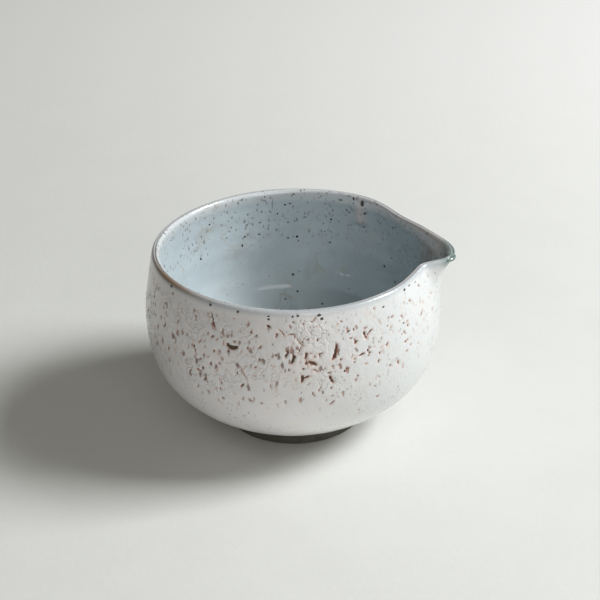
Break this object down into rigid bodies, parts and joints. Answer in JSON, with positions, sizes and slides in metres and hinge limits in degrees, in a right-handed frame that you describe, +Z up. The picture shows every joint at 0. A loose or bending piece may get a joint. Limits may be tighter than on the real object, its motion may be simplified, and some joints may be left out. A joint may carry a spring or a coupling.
{
  "type": "tea pitcher",
  "caption": "Low round glazed stoneware bowl with a pinched pouring spout on a bare turned foot ring; holds brewed tea and pours it into cups.",
  "frame": {"origin": "centre of the part's bounding box in X and Y, on the table plane under the foot ring", "axes": "+X from the bowl towards the spout, +Z up"},
  "size_m": [0.1238, 0.1186, 0.0761],
  "materials": {
    "stoneware": "rough fired clay",
    "foot_clay": "bare dark clay",
    "outer_glaze": "glossy white with crawls",
    "inner_glaze": "glossy pale blue-grey"
  },
  "bodies": {
    "root": {"stoneware_body": "stoneware", "foot_ring": "foot_clay", "outer_glaze": "outer_glaze", "inner_glaze": "inner_glaze"}
  },
  "joints": []
}
